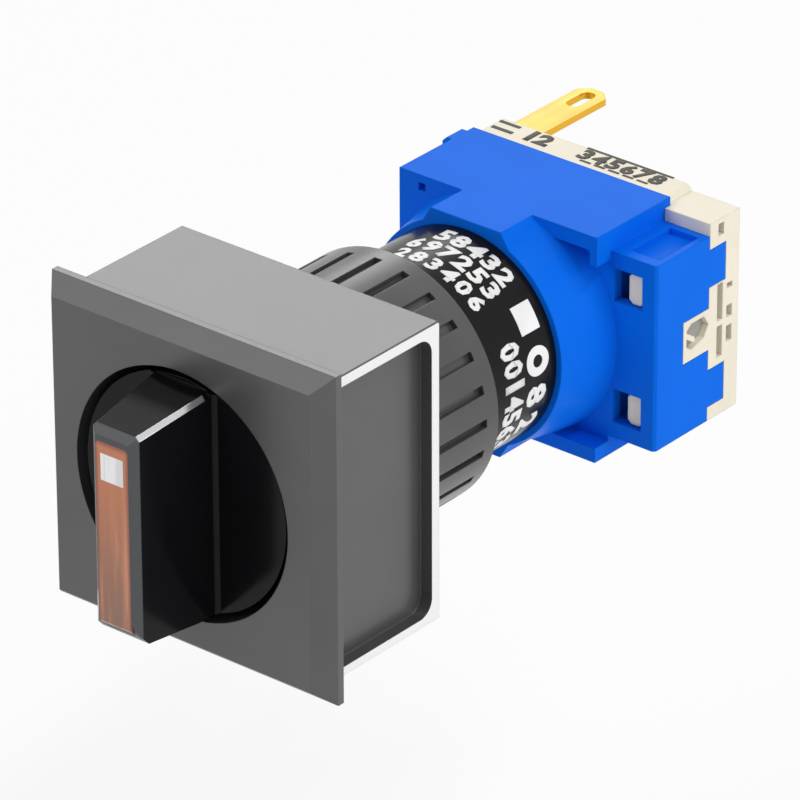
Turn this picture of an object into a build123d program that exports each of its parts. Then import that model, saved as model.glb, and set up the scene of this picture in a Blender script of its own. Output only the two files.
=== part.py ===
from build123d import *
from math import atan2, degrees
import os

# Panel selector switch with a square bezel, in millimetres.
# Y is the switch axis: the knob looks towards -Y, the terminals towards +Y.
# Z is up and X is to the right for a person who faces the terminals from the knob.
# The origin is the centre of the bezel's rear face, which rests on the panel.

# ---- driving dimensions ----
THREAD_R = 8.0          # M16 barrel thread, outside
BODY_MARGIN = 3.0       # from the thread to the side of the square body
PLATE_EDGE = 1.0        # how far the front plate stands out over the body
BOX_DEPTH = 11.0        # plate's rear face to the panel seat
PANEL_MAX = 2.0         # thickest panel the locking ring can clamp
BAND_LENGTH = 7.4       # print band, from the thread's end to the blue sleeve
BLOCK_LENGTH = 8.0      # contact block's housing behind its front wall
TURN_DEG = 45.0         # knob travel to each side of the middle position

# ---- walls, clearances and fits ----
WALL = 0.9
RUN_FIT = 0.05          # radial clearance of a turning shaft
FREE = 0.3              # gap between pieces that move past each other
SLOT_FREE = 0.17        # crank pin to slot wall, each side
SEAM = 0.04             # gap between fixed mouldings that interlock
FAR = 200.0             # reach of a cut that runs right through

# ---- bezel ----
BOX = 2 * (THREAD_R + BODY_MARGIN)      # side of the body behind the plate
BEZEL = BOX + 2 * PLATE_EDGE            # side of the square front plate
PLATE_RIM = 0.8
BORDER_W = 1.35         # sloping border of the front plate
BORDER_D = 1.1
SEAT_Y = 0.0
PLATE_REAR_Y = SEAT_Y - BOX_DEPTH
RIM_FRONT_Y = PLATE_REAR_Y - PLATE_RIM
FACE_Y = RIM_FRONT_Y - BORDER_D
WELL_R = BOX / 2 - 2.0
WEB = 2.0
BARREL_INSERT = 5.5     # how far the barrel reaches into the bezel
BARREL_FRONT_Y = SEAT_Y - BARREL_INSERT
WELL_FLOOR_Y = BARREL_FRONT_Y - WEB
SIDE_LIP = 0.75
SIDE_RECESS = 0.95
GASKET_FLAT = THREAD_R + BODY_MARGIN / 2    # axis to a flat of the eight-sided seal
GASKET_T = 1.0
CORE = 2.0              # square cores in the rear corners
CORE_DEPTH = BOX_DEPTH - 2.0

# ---- barrel, ring and rotor ----
BORE_R = THREAD_R - 1.4
BAND_R = THREAD_R - 0.2
RING_WALL = 1.15
RING_LENGTH = 6.5
RING_BAND = 1.5         # smooth band at the ring's rear
RIBS = 24
RIB_GAP = 0.65
RIB_HEIGHT = 0.45
RING_FRONT_Y = SEAT_Y + PANEL_MAX + 0.2
RING_REAR_Y = RING_FRONT_Y + RING_LENGTH
RING_R = THREAD_R + RUN_FIT + RING_WALL
THREAD_END_Y = RING_REAR_Y + 0.2
SLEEVE_FRONT_Y = THREAD_END_Y + BAND_LENGTH
SLEEVE_GRIP = 1.7       # how far the barrel reaches into the sleeve
BARREL_REAR_Y = SLEEVE_FRONT_Y + SLEEVE_GRIP
LAND = 6.0              # bearing land at the barrel's rear end
LAND_Y0 = BARREL_REAR_Y - LAND
ROTOR_R = BORE_R - 1.4
ROTOR_BORE = ROTOR_R - 1.8
ROTOR_FRONT_Y = BARREL_FRONT_Y + 0.9
FLANGE_T = 1.1
FLANGE_R = BORE_R - 0.7
FLANGE_Y0 = BARREL_REAR_Y + FREE
FLANGE_Y1 = FLANGE_Y0 + FLANGE_T
PIN_R = 0.6
CRANK_R = ROTOR_R - PIN_R

# ---- detent ----
CAM_R = BORE_R - FREE
CAM_LENGTH = 2.8
CAM_Y0, CAM_Y1 = ROTOR_FRONT_Y, ROTOR_FRONT_Y + CAM_LENGTH
ROLLER_R = 0.75
ROLLER_LENGTH = 1.6
ROLLER_MID_R = CAM_R + RUN_FIT + ROLLER_R
ROLLER_OUT_R = ROLLER_MID_R + ROLLER_R
SPRING_W, SPRING_T = 1.2, 0.3
SPRING_BOW = 0.3        # how far a leaf spring's ends stand out
SPRING_HALF = 3.0       # half a leaf spring's length
DETENT_Y = (CAM_Y0 + CAM_Y1) / 2

# ---- knob ----
DISC_R = WELL_R - 0.5
DISC_SUNK = 0.45
DISC_Y = FACE_Y + DISC_SUNK
DISC_T = 1.5
GRIP_OUT = 7.1          # grip's height above the disc
GRIP_W_BASE, GRIP_W_TIP = 5.2, 3.8
TIP_Y = DISC_Y - GRIP_OUT
GRIP_ROOT = 0.5         # how far the grip is carried into the disc
GRIP_TOP = DISC_R - 1.2
GRIP_BOTTOM = -DISC_R + 0.7
STEM_R = ROTOR_R - 1.0
STEM_DRIVE = 3.6        # stem length inside the rotor
STEM_REAR_Y = ROTOR_FRONT_Y + STEM_DRIVE
FLAT_X = STEM_R - 0.6   # drive flat on the stem
GUIDE_R = STEM_R - 1.3
GUIDE_Y0 = DISC_Y + 0.6
TIP_EDGE = 0.5          # bevel round the grip's tip
TIP_ROUND = 1.0         # bevel under the tip's lower end
ROOT_BEAD = 0.22        # small slope where the grip stands on the disc
LENS_W, LENS_T = GRIP_W_TIP - 1.05, 1.1
LENS_TOP, LENS_BOTTOM = GRIP_TOP - 0.9, GRIP_BOTTOM + 0.45
LENS_RIB_W, LENS_RIB_H = 1.8, 10.0
MARK_W, MARK_H, MARK_T = 1.9, 1.95, 0.35
MARK_Z = LENS_TOP - 1.8

# ---- contact block ----
HALF = BAND_R + 0.7     # half the side of the square block
SLEEVE_LIP_R, SLEEVE_R = BAND_R + 0.45, HALF + 0.6
FRONT_WALL_Y = SLEEVE_FRONT_Y + 3.4
SIDE_FRONT_Y = FRONT_WALL_Y + 1.5
ROOF_REAR_Y = FRONT_WALL_Y + BLOCK_LENGTH
BASE_REAR_Y = ROOF_REAR_Y + 2.6
ROOF_T = 1.1
TAB_W, TAB_FLARE, TAB_DROP = 6.0, 1.6, 2.6
CORNER_RIB = 0.6
NUB_R = 0.8
SHOULDER_W = 3.9
SHOULDER_X = HALF + SHOULDER_W
SHOULDER_Z = HALF - 1.5
SHOULDER_REAR_Y = SIDE_FRONT_Y + 5.8
STEP_REAR_Y = SHOULDER_REAR_Y + 1.8
NOTCH_Y = SHOULDER_REAR_Y - 2.8
STEP_Z = (1.6, 3.15, 5.95)   # heights of the steps in the side wall's rear edge
SIDE_TOP = HALF - 0.6   # top of the base's side, a little above the shoulder
SIDE_SLOT_W = 0.6
POCKET_D = 0.45
WINDOW_X0, WINDOW_X1 = HALF + 0.3, HALF + 2.7
WINDOW_Z0, WINDOW_Z1 = SHOULDER_Z - 3.7, SHOULDER_Z - 1.2
HOOK_INSET = 0.1
HOOK_W = 1.25

# ---- contacts ----
SLIDER_T = 1.8
SLIDER_Y0 = SIDE_FRONT_Y + WALL + 0.2
SLIDER_Y1 = SLIDER_Y0 + SLIDER_T
SLIDER_HALF = 3.6
PILLAR_R = ROTOR_BORE - 0.9
SOCKET_WALL = 0.6
SLIDER_Z0 = PILLAR_R + 0.4
SLIDER_Z1 = HALF - 1.9
FINGER_X = 2.4
PAD_Y = SLIDER_Y1 + 1.3
PAD_T, PAD_H = 0.5, 1.8
BASE_FRONT_Y = PAD_Y + PAD_T
BLADE_W, BLADE_T = 2.6, 0.5
TIP_CUT = 0.75          # cut off each corner of a blade's tip
BLADE_OUT = 5.7         # switching blades, beyond the base
SIDE_PAD_X = HALF - 3.0
BLADE_Z = SLIDER_Z0 + 0.5
BLADE_TIP_Y = BASE_REAR_Y + BLADE_OUT
LAMP_X, LAMP_Z = HALF - 1.65, HALF - 1.3
LAMP_OUT = 9.1          # lamp blades, beyond the base
LAMP_TAIL_X = 2.75
LAMP_CORE_R = PILLAR_R - SOCKET_WALL
TAIL_W, TAIL_END, TAIL_Z = 1.2, LAMP_CORE_R * 0.27, LAMP_CORE_R * 0.65
TAIL_Y0, TAIL_Y1 = ROOF_REAR_Y + 0.1, ROOF_REAR_Y + 0.6
PILLAR_OUT = 8.3        # how far the lamp's pillar stands in front of the sleeve
PILLAR_FRONT_Y = SLEEVE_FRONT_Y - PILLAR_OUT
LAMP_BODY = 6.0
LAMP_PIN = LAMP_CORE_R / 4
DOME_LENGTH, DOME_BEVEL = 4.6, 1.0


def block(x0, x1, y0, y1, z0, z1):
    """Box between two corners, given in any order along each axis."""
    middle = Pos((x0 + x1) / 2, (y0 + y1) / 2, (z0 + z1) / 2)
    return middle * Box(abs(x1 - x0), abs(y1 - y0), abs(z1 - z0))


def drum(radius, y0, y1, x=0.0, z=0.0):
    """Cylinder along the switch axis."""
    return Pos(x, (y0 + y1) / 2, z) * Rot(90, 0, 0) * Cylinder(radius, y1 - y0)


def tube(outer, inner, y0, y1):
    """Hollow cylinder along the switch axis."""
    return drum(outer, y0, y1) - drum(inner, -FAR, FAR)


def slab(sketch, y0, y1):
    """Extrude a sketch drawn in X and Z from y0 to y1."""
    return extrude(Plane.XZ.offset(-y1) * sketch, amount=y1 - y0)


def side_slab(points, x0, x1):
    """Extrude a (y, z) outline from x0 to x1."""
    outline = make_face(Polyline(*points, close=True))
    return extrude(Plane.YZ.offset(x0) * outline, amount=x1 - x0)


def turned(points):
    """Revolve a (radius, y) outline about the switch axis."""
    return revolve(make_face(Polyline(*points, close=True)), axis=Axis.Y)


def eight_sided(flat):
    """Eight-sided outline with flats above, below and at the sides."""
    return RegularPolygon(flat, 8, major_radius=False, rotation=22.5)


# ---- front operator ----
def bezel():
    """Square front moulding: plate with a sloping border, body, knob well and rear pocket."""
    side = BEZEL / 2
    plate = block(-side, side, FACE_Y, PLATE_REAR_Y, -side, side)
    front = plate.faces().sort_by(Axis.Y)[0]
    plate = chamfer(front.edges(), length=BORDER_D, length2=BORDER_W, reference=front)
    body = block(-BOX / 2, BOX / 2, PLATE_REAR_Y, SEAT_Y, -BOX / 2, BOX / 2)
    shape = plate + chamfer(body.edges().filter_by(Axis.Y), 0.15)
    shape -= side_recess() + mirror(side_recess(), Plane.YZ)
    shape -= drum(WELL_R, -FAR, WELL_FLOOR_Y)
    shape -= drum(STEM_R + RUN_FIT, -FAR, BARREL_FRONT_Y + WEB)
    shape -= drum(THREAD_R, BARREL_FRONT_Y, FAR)
    shape -= slab(eight_sided(GASKET_FLAT), SEAT_Y - GASKET_T, SEAT_Y + 1)
    spring_x = ROLLER_OUT_R + SPRING_T + SPRING_BOW + SEAM
    shape -= block(-spring_x, spring_x, DETENT_Y - SPRING_W / 2 - SEAM,
                   DETENT_Y + SPRING_W / 2 + SEAM, -SPRING_HALF - SEAM, SPRING_HALF + SEAM)
    core = BOX / 2 - WALL - CORE / 2 - 0.8
    for sx in (-1, 1):
        for sz in (-1, 1):
            shape -= Pos(sx * core, SEAT_Y - CORE_DEPTH / 2, sz * core) * Box(CORE, CORE_DEPTH, CORE)
    return shape


def side_recess():
    """Shallow panel sunk between the lips on a side of the body."""
    lip = BOX / 2 - SIDE_LIP
    cut = block(BOX / 2 - SIDE_RECESS, BOX, PLATE_REAR_Y, SEAT_Y - SIDE_LIP, -lip, lip)
    rear = cut.edges().filter_by(Axis.X).group_by(Axis.Y)[-1]
    return fillet(rear, 1.2)


def gasket():
    """Eight-sided rubber seal sunk in the bezel's rear face."""
    return slab(eight_sided(GASKET_FLAT), SEAT_Y - GASKET_T, SEAT_Y - RUN_FIT) - drum(
        THREAD_R + RUN_FIT, -FAR, FAR)


def grip():
    """Tapered bar across the knob, with its top end sloping down to the tip."""
    rise = GRIP_OUT + GRIP_ROOT
    root_y = DISC_Y + GRIP_ROOT
    draft = degrees(atan2((GRIP_W_BASE - GRIP_W_TIP) / 2, rise))
    foot = Plane.XZ.offset(-root_y) * Rectangle(GRIP_W_BASE, 2 * DISC_R)
    shape = extrude(foot, amount=rise, taper=draft)
    top = [(TIP_Y, GRIP_TOP), (root_y, DISC_R - 0.2), (root_y, DISC_R + 2), (TIP_Y, DISC_R + 2)]
    low = [(TIP_Y, GRIP_BOTTOM), (root_y, -DISC_R + 0.2), (root_y, -DISC_R - 2), (TIP_Y, -DISC_R - 2)]
    for outline in (top, low):
        shape -= side_slab(outline, -GRIP_W_BASE, GRIP_W_BASE)
    low_edge = shape.faces().sort_by(Axis.Y)[0].edges().sort_by(Axis.Z)[0]
    shape = chamfer(low_edge, TIP_ROUND)
    shape = chamfer(shape.faces().sort_by(Axis.Y)[0].edges(), TIP_EDGE) + root_bead()
    return shape & drum(DISC_R, TIP_Y - 1, root_y)


def root_bead():
    """Slope along both sides of the grip where it meets the disc."""
    foot = GRIP_W_BASE / 2 + ROOT_BEAD
    outline = Polyline((-foot, DISC_Y), (-foot + ROOT_BEAD, DISC_Y - ROOT_BEAD),
                       (foot - ROOT_BEAD, DISC_Y - ROOT_BEAD), (foot, DISC_Y), close=True)
    return extrude(Plane.XY.offset(-DISC_R) * make_face(outline), amount=2 * DISC_R)


def knob():
    """Knob disc with its grip, skirt and hollow stem."""
    skirt_y = WELL_FLOOR_Y - FREE
    shape = turned([(0, DISC_Y), (DISC_R, DISC_Y), (DISC_R, skirt_y), (DISC_R - 1.0, skirt_y),
                    (DISC_R - 1.0, DISC_Y + DISC_T), (STEM_R, DISC_Y + DISC_T),
                    (STEM_R, STEM_REAR_Y), (0, STEM_REAR_Y)])
    shape += grip()
    shape -= drum(GUIDE_R, GUIDE_Y0, FAR)
    shape -= lens_body()
    return shape - stem_flat()


def stem_flat():
    """Region cut off the stem's rear end to make its drive flat."""
    return block(FLAT_X, FLAT_X + STEM_R, ROTOR_FRONT_Y, FAR, -STEM_R, STEM_R)


def lens_body():
    """Lens strip with the rib that takes light from the guide."""
    middle = (LENS_TOP + LENS_BOTTOM) / 2
    strip = Pos(0, middle) * RectangleRounded(LENS_W, LENS_TOP - LENS_BOTTOM, 0.35)
    half_w, half_h = LENS_RIB_W / 2, LENS_RIB_H / 2
    rib = block(-half_w, half_w, TIP_Y + LENS_T, GUIDE_Y0, -half_h, half_h)
    under = [(TIP_Y, GRIP_BOTTOM + TIP_ROUND), (TIP_Y + TIP_ROUND, GRIP_BOTTOM),
             (TIP_Y, GRIP_BOTTOM)]
    return slab(strip, TIP_Y, TIP_Y + LENS_T) - side_slab(under, -LENS_W, LENS_W) + rib


def pointer():
    """White pointer tile let into the lens."""
    half_w, half_h = MARK_W / 2, MARK_H / 2
    return block(-half_w, half_w, TIP_Y, TIP_Y + MARK_T, MARK_Z - half_h, MARK_Z + half_h)


def light_guide():
    """Clear rod through the stem, from the lamp to the lens."""
    return drum(GUIDE_R, GUIDE_Y0, STEM_REAR_Y - FREE)


# ---- barrel and locking ring ----
def barrel():
    """Barrel that carries the panel thread, the rotor and the contact block."""
    land_r = ROTOR_R + RUN_FIT
    shape = turned([(BORE_R, BARREL_FRONT_Y), (THREAD_R, BARREL_FRONT_Y), (THREAD_R, THREAD_END_Y),
                    (BAND_R, THREAD_END_Y + 0.2), (BAND_R, BARREL_REAR_Y), (land_r, BARREL_REAR_Y),
                    (land_r, LAND_Y0), (BORE_R, LAND_Y0)])
    slot, flat = ROLLER_LENGTH / 2 + SEAM, SPRING_W / 2 + SEAM
    width, reach = ROLLER_R + SEAM, SPRING_HALF + SEAM
    for side in (-1, 1):
        outside = side * THREAD_R * 1.5
        shape -= block(side * (BORE_R - 0.5), outside, DETENT_Y - slot, DETENT_Y + slot, -width,
                       width)
        shape -= block(side * (ROLLER_OUT_R - SEAM), outside, DETENT_Y - flat, DETENT_Y + flat,
                       -reach, reach)
    return shape


def detent_rollers():
    """Two steel rollers that drop into the cam's notches."""
    half = ROLLER_LENGTH / 2
    rollers = [drum(ROLLER_R, DETENT_Y - half, DETENT_Y + half, x=side * ROLLER_MID_R)
               for side in (-1, 1)]
    return rollers[0] + rollers[1]


def detent_springs():
    """Two bowed leaf springs, each pressing on a roller."""
    x0, x1, bow, reach = ROLLER_OUT_R, ROLLER_OUT_R + SPRING_T, SPRING_BOW, SPRING_HALF
    outline = Polyline((x0, 0), (x0 + bow, reach), (x1 + bow, reach), (x1, 0), (x1 + bow, -reach),
                       (x0 + bow, -reach), close=True)
    leaf = slab(make_face(outline), DETENT_Y - SPRING_W / 2, DETENT_Y + SPRING_W / 2)
    return leaf + mirror(leaf, Plane.YZ)


def lock_ring():
    """Ribbed locking ring with a smooth band at its rear."""
    inner = THREAD_R + RUN_FIT
    shape = turned([(inner, RING_FRONT_Y), (RING_R, RING_FRONT_Y), (RING_R, RING_REAR_Y - 0.3),
                    (RING_R - 0.3, RING_REAR_Y), (inner + 0.2, RING_REAR_Y)])
    cut = block(-RIB_GAP / 2, RIB_GAP / 2, RING_FRONT_Y - 1, RING_REAR_Y - RING_BAND,
                RING_R - RIB_HEIGHT, RING_R + 1)
    for i in range(RIBS):
        shape -= Rot(0, 360 * i / RIBS, 0) * cut
    return shape


# ---- rotor ----
def rotor():
    """Hollow shaft from the knob to the two crank pins."""
    shape = drum(ROTOR_R, ROTOR_FRONT_Y, FLANGE_Y1) + drum(FLANGE_R, FLANGE_Y0, FLANGE_Y1)
    shape -= drum(ROTOR_BORE, -FAR, FAR)
    shape -= drum(STEM_R, -FAR, STEM_REAR_Y) - stem_flat()
    for side in (-1, 1):
        shape += drum(PIN_R, FLANGE_Y1, SLIDER_Y1 - 0.2, z=side * CRANK_R)
    return shape


def detent_cam():
    """Notched ring pressed on the rotor, one notch for each position at each roller."""
    shape = tube(CAM_R, ROTOR_R, CAM_Y0, CAM_Y1)
    notch = drum(ROLLER_R + 0.1, -FAR, FAR, x=CAM_R + ROLLER_R / 2)
    for side in (0, 180):
        for turn in (-TURN_DEG, 0, TURN_DEG):
            shape -= Rot(0, side + turn, 0) * notch
    return shape


# ---- contact block ----
def stepped_edge(front, gap):
    """Stepped (y, z) outline of the side wall, pushed out by a gap where it meets the base."""
    low, middle, high = STEP_Z
    rear, step, notch = SHOULDER_REAR_Y + gap, STEP_REAR_Y + gap, NOTCH_Y + gap
    top = SHOULDER_Z if gap == 0 else SHOULDER_Z + 1
    upper = [(front, top), (rear, top), (rear, high + gap), (step, high + gap),
             (step, middle - gap), (rear, middle - gap), (rear, low - gap), (notch, low - gap)]
    return upper + [(y, -z) for y, z in reversed(upper)]


def sleeve_tab(sign):
    """Flat tab on top of, or below, the sleeve, flared into it."""
    z, foot, half = sign * HALF, sign * (HALF - TAB_DROP), TAB_W / 2
    outline = Polyline((-half, z), (half, z), (half + TAB_FLARE, foot), (-half - TAB_FLARE, foot),
                       close=True)
    return slab(make_face(outline), SLEEVE_FRONT_Y, SIDE_FRONT_Y)


def housing():
    """Blue housing: sleeve for the barrel, square block and side shoulder."""
    sleeve = turned([(0, SLEEVE_FRONT_Y), (SLEEVE_LIP_R, SLEEVE_FRONT_Y), (SLEEVE_R, SIDE_FRONT_Y),
                     (0, SIDE_FRONT_Y)])
    shape = sleeve & block(-FAR, FAR, 0, FAR, -HALF, HALF)
    shape += block(-HALF, HALF, SIDE_FRONT_Y, ROOF_REAR_Y, -HALF, HALF)
    shape += block(-HALF, -TAB_W / 2, FRONT_WALL_Y, SIDE_FRONT_Y, -HALF, HALF)
    for sign in (-1, 1):
        edge = sign * HALF
        shape += sleeve_tab(sign)
        shape += block(0, HALF, FRONT_WALL_Y, SIDE_FRONT_Y, edge, sign * (HALF - ROOF_T))
    shape += block(HALF - CORNER_RIB, HALF, FRONT_WALL_Y, SIDE_FRONT_Y, HALF - 2 * ROOF_T, HALF)
    shape += shoulder()
    shape += nub()
    shape -= drum(BAND_R, -FAR, BARREL_REAR_Y)
    inner = HALF - WALL
    shape -= slab(eight_sided(FLANGE_R + 0.5), BARREL_REAR_Y - 1, SIDE_FRONT_Y + WALL)
    shape -= block(-inner, -TAB_W / 2, FRONT_WALL_Y + WALL, SIDE_FRONT_Y + WALL, -inner, inner)
    shape -= block(-inner, inner, SIDE_FRONT_Y + WALL, FAR, -inner, inner)
    return shape - Pos(2 - HALF, FRONT_WALL_Y, inner) * Box(0.6, WALL, 0.6)


def nub():
    """Small bevelled nub at the housing's upper left edge."""
    reach = HALF + NUB_R
    outline = Polyline((-HALF, HALF), (-reach + 0.35, HALF), (-reach, HALF - 0.35),
                       (-reach, HALF - 1.2), (-HALF, HALF - 2 * NUB_R), close=True)
    return slab(make_face(outline), ROOF_REAR_Y - 2.4, ROOF_REAR_Y - 0.7)


def shoulder():
    """Side shoulder with a pocket in its top, two latch windows and a stepped rear edge."""
    panel_x = SHOULDER_X - WALL
    shape = block(HALF - WALL / 2, panel_x, SIDE_FRONT_Y, SHOULDER_REAR_Y, -SHOULDER_Z, SHOULDER_Z)
    panel = side_slab(stepped_edge(SIDE_FRONT_Y, 0), panel_x, SHOULDER_X)
    corner = panel.edges().filter_by(Axis.Z).group_by(Axis.Y)[0].sort_by(Axis.X)[-1]
    shape += chamfer(corner, 0.2)
    inner = SHOULDER_Z - POCKET_D - 0.6
    shape -= block(HALF, panel_x, SIDE_FRONT_Y + WALL, FAR, -inner, inner)
    for sign in (-1, 1):
        top = sign * (SHOULDER_Z - POCKET_D)
        shape -= block(HALF + 1.0, SHOULDER_X - 0.5, SIDE_FRONT_Y + WALL, SHOULDER_REAR_Y - 0.6,
                       top, sign * FAR)
        shape -= block(WINDOW_X0, WINDOW_X1, 0, SIDE_FRONT_Y + 2 * WALL, sign * WINDOW_Z0,
                       sign * WINDOW_Z1)
    return shape


def base_side():
    """The base's side: a block behind the shoulder and a wall that interlocks with its edge."""
    panel_x = SHOULDER_X - WALL - SEAM
    wall = block(panel_x, SHOULDER_X, NOTCH_Y, BASE_REAR_Y, -SHOULDER_Z, SIDE_TOP)
    wall -= side_slab(stepped_edge(0, SEAM), panel_x - 1, SHOULDER_X + 1)
    rear = block(HALF + SEAM, panel_x, SHOULDER_REAR_Y + SEAM, BASE_REAR_Y, -SHOULDER_Z, SIDE_TOP)
    link = block(HALF - WALL / 2, HALF + WALL / 2, ROOF_REAR_Y, BASE_REAR_Y, -SHOULDER_Z, SIDE_TOP)
    return wall + rear + link - side_slots() - inspection_pocket()


def side_slots():
    """Moulding slots in the base's side, in two upright rows."""
    high, low = STEP_Z[1], STEP_Z[0]
    rows = [(STEP_REAR_Y - 0.55, 0.2, high - 0.15), (STEP_REAR_Y - 0.55, 0.6 - high, -0.2),
            (STEP_REAR_Y - 0.55, SHOULDER_Z - 0.35, SIDE_TOP - 0.35),
            (STEP_REAR_Y + 0.5, low + 0.7, high - 0.45), (STEP_REAR_Y + 0.5, 0.1, 1.0),
            (STEP_REAR_Y + 0.5, -low - 0.15, -0.55)]
    half = SIDE_SLOT_W / 2
    slots = [block(SHOULDER_X - POCKET_D, SHOULDER_X + 1, y - half, y + half, z0, z1)
             for y, z0, z1 in rows]
    return Compound(slots)


def inspection_pocket():
    """Pocket in the notch's face with a slanting web left across it."""
    floor_x, low = SHOULDER_X - POCKET_D, STEP_Z[0]
    y0, y1 = NOTCH_Y + 0.4, SHOULDER_REAR_Y
    outline = [(y0, -0.4), (y0 + 0.5, -low / 2), (y1 - 0.5, -low / 2 + 0.4), (y1, low / 2 - 0.4),
               (y1 - 0.5, low - 0.4), (y0 + 0.5, low - 0.4), (y0, low / 2)]
    web = [(y0 - 0.3, 0.4), (y0 + 0.9, -0.4), (y0 + 0.9, 0.05), (y0 - 0.3, 0.85)]
    pocket = side_slab(outline, floor_x, SHOULDER_X + 1)
    return pocket - side_slab(web, floor_x, SHOULDER_X + 1)


def terminal_base():
    """Cream base: plug that carries the contacts, rear cover, side wall and latch hooks."""
    inner = HALF - WALL - SEAM
    shape = block(-inner, inner, BASE_FRONT_Y, ROOF_REAR_Y, -inner, inner)
    edge = HALF - 0.15
    strip = block(-edge, edge, ROOF_REAR_Y, BASE_REAR_Y, -edge, edge)
    shape += fillet(strip.edges().filter_by(Axis.Y), 0.6)
    shape += base_side()
    hook_x = WINDOW_X1 - HOOK_INSET
    for sign in (-1, 1):
        hook = block(hook_x - HOOK_W, hook_x, SIDE_FRONT_Y + 0.35, ROOF_REAR_Y,
                     sign * (WINDOW_Z0 + HOOK_INSET), sign * (WINDOW_Z1 - HOOK_INSET))
        shape += chamfer(hook.edges().filter_by(Axis.Y), 0.3)
        shape += block(-inner, inner, SLIDER_Y0 + 0.2, BASE_FRONT_Y, sign * (SLIDER_Z1 + 0.1),
                       sign * inner)
    shape -= drum(PILLAR_R, 0, BASE_REAR_Y - WALL)
    for piece in contact_blades().values():
        shape -= piece
    return shape - lamp_terminal(1) - lamp_terminal(-1)


# ---- contacts and lamp ----
def bridge(side):
    """Brass bridge with two sprung fingers that wipe the fixed contacts."""
    y0, y1, finger_y = SLIDER_Y1, SLIDER_Y1 + 0.25, PAD_Y - 0.35
    z = side * (SLIDER_Z0 + 0.55)
    shape = block(-FINGER_X - 0.8, FINGER_X + 0.8, y0, y1, z - 0.7, z + 0.7)
    for x in (-FINGER_X, FINGER_X):
        shape += block(x - 0.6, x + 0.6, y1, finger_y, z - 0.5, z + 0.5)
        shape += Pos(x, finger_y, z) * Cylinder(0.28, 1.0)
    return shape


def slider(side):
    """Moulded slide with the open slot that its crank pin works in."""
    shape = block(-SLIDER_HALF, SLIDER_HALF, SLIDER_Y0, SLIDER_Y1, side * SLIDER_Z0,
                  side * SLIDER_Z1)
    half = PIN_R + SLOT_FREE
    return shape - block(-half, half, 0, FAR, 0, side * (CRANK_R + PIN_R + FREE))


def blade(x, z, y0, tip):
    """Flat solder blade with cut corners and a long eye."""
    flat = Pos(x, (y0 + tip) / 2) * Rectangle(BLADE_W, tip - y0)
    flat = chamfer(flat.vertices().group_by(Axis.Y)[-1], TIP_CUT)
    flat -= Pos(x, tip - 1.9) * Rot(0, 0, 90) * SlotOverall(2.6, 1.1)
    return extrude(Plane.XY.offset(z - BLADE_T / 2) * flat, amount=BLADE_T)


def contact_blades():
    """Six switching terminals, each with its contact pad in front of the base."""
    places = {}
    for row, side in (("upper", 1), ("lower", -1)):
        for column, x in (("left", -SIDE_PAD_X), ("middle", 0.0), ("right", SIDE_PAD_X)):
            z = side * BLADE_Z
            pad = block(x - BLADE_W / 2, x + BLADE_W / 2, PAD_Y, BASE_FRONT_Y, z - PAD_H / 2,
                        z + PAD_H / 2)
            places[f"{row}_{column}_terminal"] = pad + blade(x, z, PAD_Y, BLADE_TIP_Y)
    return places


def lamp_terminal(side):
    """Lamp supply blade on the left, with a tail that reaches into the lamp socket."""
    z, tail = side * LAMP_Z, -side * LAMP_TAIL_X
    inner_x = tail + side * TAIL_W / 2
    shape = blade(-LAMP_X, z, TAIL_Y0, BASE_REAR_Y + LAMP_OUT)
    shape += block(-LAMP_X, tail + TAIL_W / 2, TAIL_Y0, TAIL_Y1, z - BLADE_T / 2, z + BLADE_T / 2)
    shape += block(tail - side * TAIL_W / 2, inner_x, TAIL_Y0, TAIL_Y1, z, side * TAIL_END)
    return shape + block(tail, -side * TAIL_END, TAIL_Y0, TAIL_Y1, side * TAIL_END, side * TAIL_Z)


def lamp_socket():
    """Pillar on the axis that holds the lamp inside the rotor."""
    shape = tube(PILLAR_R, LAMP_CORE_R, PILLAR_FRONT_Y, BASE_REAR_Y - WALL)
    shape += drum(PILLAR_R - SOCKET_WALL / 2, BASE_REAR_Y - 2 * WALL, BASE_REAR_Y - WALL)
    return shape - lamp_terminal(1) - lamp_terminal(-1)


def lamp_body():
    """Lamp's plastic body, pushed into the socket."""
    return drum(LAMP_CORE_R, PILLAR_FRONT_Y, PILLAR_FRONT_Y + LAMP_BODY)


def lamp_dome():
    """Clear bevelled dome over the lamp's chip, with a rim against the socket."""
    y, r = PILLAR_FRONT_Y, PILLAR_R - 0.2
    tip = y - DOME_LENGTH
    return turned([(0, y), (r, y), (r, tip + DOME_BEVEL), (r * 0.5, tip), (0, tip)])


def lamp_pins():
    """Two square wires from the lamp's body back to the supply tails."""
    start, half = PILLAR_FRONT_Y + LAMP_BODY, LAMP_PIN / 2
    pins = []
    for side in (-1, 1):
        x, z = -side * (TAIL_END + half), side * (TAIL_END + half)
        pins.append(block(x - half, x + half, start, TAIL_Y0, z - half, z + half))
    return pins[0] + pins[1]


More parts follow.
